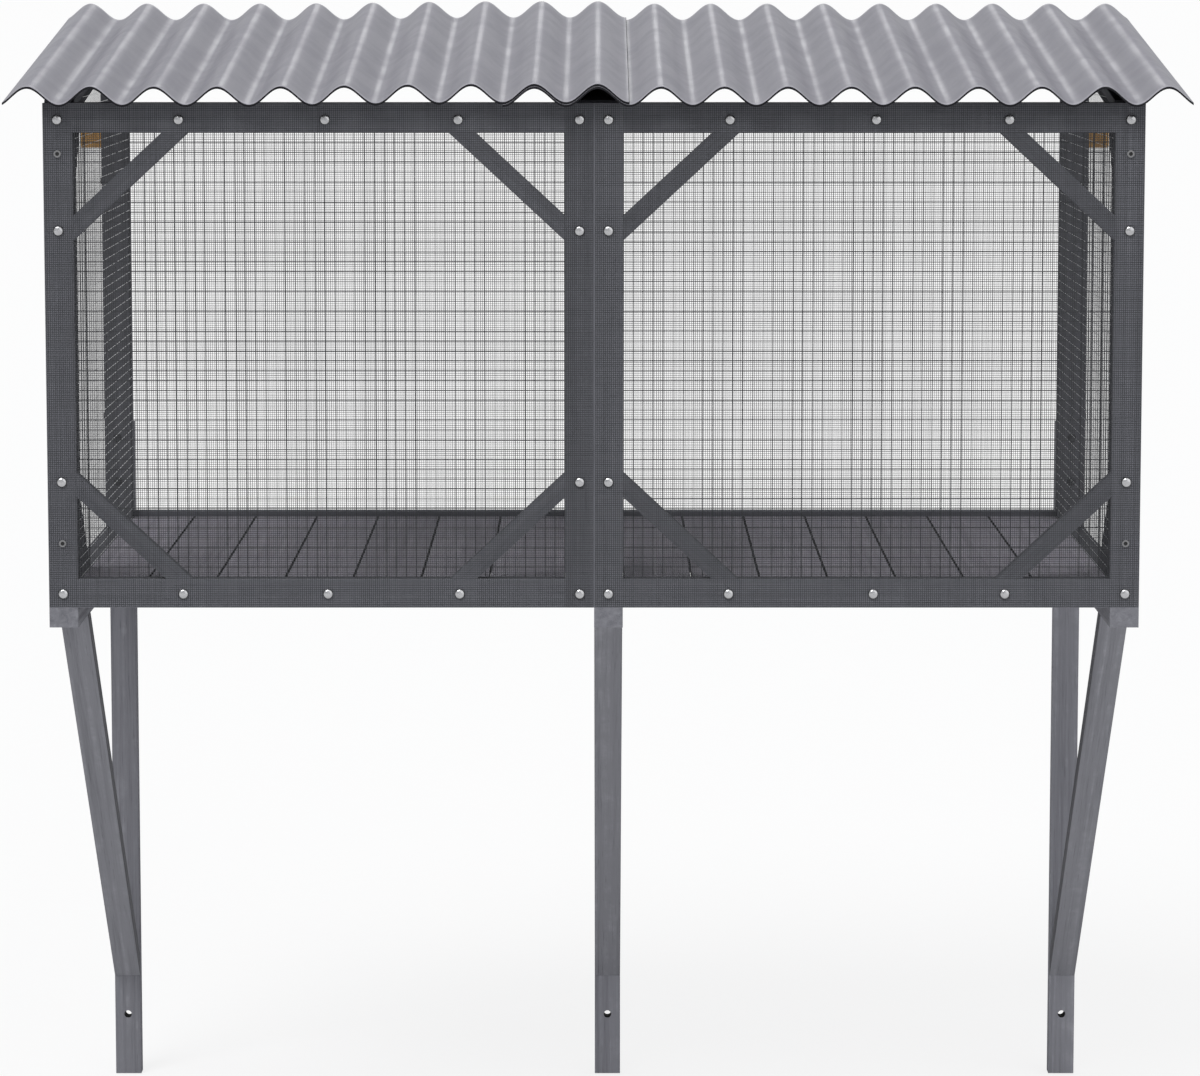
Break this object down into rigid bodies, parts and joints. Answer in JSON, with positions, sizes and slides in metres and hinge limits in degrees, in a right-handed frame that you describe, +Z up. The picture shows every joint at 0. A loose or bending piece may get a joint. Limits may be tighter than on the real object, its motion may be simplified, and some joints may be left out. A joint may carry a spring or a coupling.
{
  "type": "window box catio",
  "caption": "Mesh-fronted wooden outdoor cat box for a window, with sloping corrugated roof, plank floor and wall brackets.",
  "frame": {"origin": "where the axis of the middle leg's wall bolt hole meets the wall plane (the back faces of the legs)", "axes": "+Z up, +Y into the wall, so the mesh front faces -Y; +X to the right as seen from outside"},
  "size_m": [1.428, 0.7572, 1.4798],
  "materials": {
    "frame_wood": "dark grey opaque stain, satin, over sawn softwood",
    "bracket_wood": "mid grey stain, grain showing",
    "bare_wood": "oiled brown wood, grain showing",
    "roof_sheet": "satin light grey corrugated sheet",
    "wire": "dull galvanised wire",
    "screen": "dark grey coated thread",
    "bolt_steel": "bright plated steel"
  },
  "bodies": {
    "root": {"front_left_outer_post": "frame_wood", "front_left_inner_post": "frame_wood", "front_left_top_rail": "frame_wood", "front_left_bottom_rail": "frame_wood", "front_left_braces": "frame_wood", "front_right_inner_post": "frame_wood", "front_right_outer_post": "frame_wood", "front_right_top_rail": "frame_wood", "front_right_bottom_rail": "frame_wood", "front_right_braces": "frame_wood", "left_side_front_post": "frame_wood", "left_side_rear_post": "frame_wood", "left_side_rafter": "frame_wood", "left_side_bottom_rail": "frame_wood", "left_side_braces": "frame_wood", "right_side_front_post": "frame_wood", "right_side_rear_post": "frame_wood", "right_side_rafter": "frame_wood", "right_side_bottom_rail": "frame_wood", "right_side_braces": "frame_wood", "middle_front_studs": "frame_wood", "middle_rear_studs": "frame_wood", "middle_rafters": "frame_wood", "middle_sills": "frame_wood", "rear_left_outer_post": "frame_wood", "rear_left_inner_post": "frame_wood", "rear_left_top_rail": "frame_wood", "rear_left_bottom_rail": "frame_wood", "rear_right_inner_post": "frame_wood", "rear_right_outer_post": "frame_wood", "rear_right_top_rail": "frame_wood", "rear_right_bottom_rail": "frame_wood", "roof_sheet_left": "roof_sheet", "roof_sheet_right": "roof_sheet", "front_purlins": "frame_wood", "left_floor_planks": "frame_wood", "right_floor_planks": "frame_wood", "left_floor_joists": "frame_wood", "right_floor_joists": "frame_wood", "left_leg": "bracket_wood", "left_arm": "bracket_wood", "left_strut": "bracket_wood", "middle_leg": "bracket_wood", "middle_arm": "bracket_wood", "middle_strut": "bracket_wood", "right_leg": "bracket_wood", "right_arm": "bracket_wood", "right_strut": "bracket_wood", "wall_blocks": "bare_wood", "left_front_mesh": "wire", "right_front_mesh": "wire", "left_side_mesh": "wire", "right_side_mesh": "wire", "left_front_screen": "screen", "right_front_screen": "screen", "front_bolts": "bolt_steel", "front_nuts": "bolt_steel", "leg_bolts": "bolt_steel", "side_screws": "bolt_steel", "front_screws": "bolt_steel"}
  },
  "joints": []
}
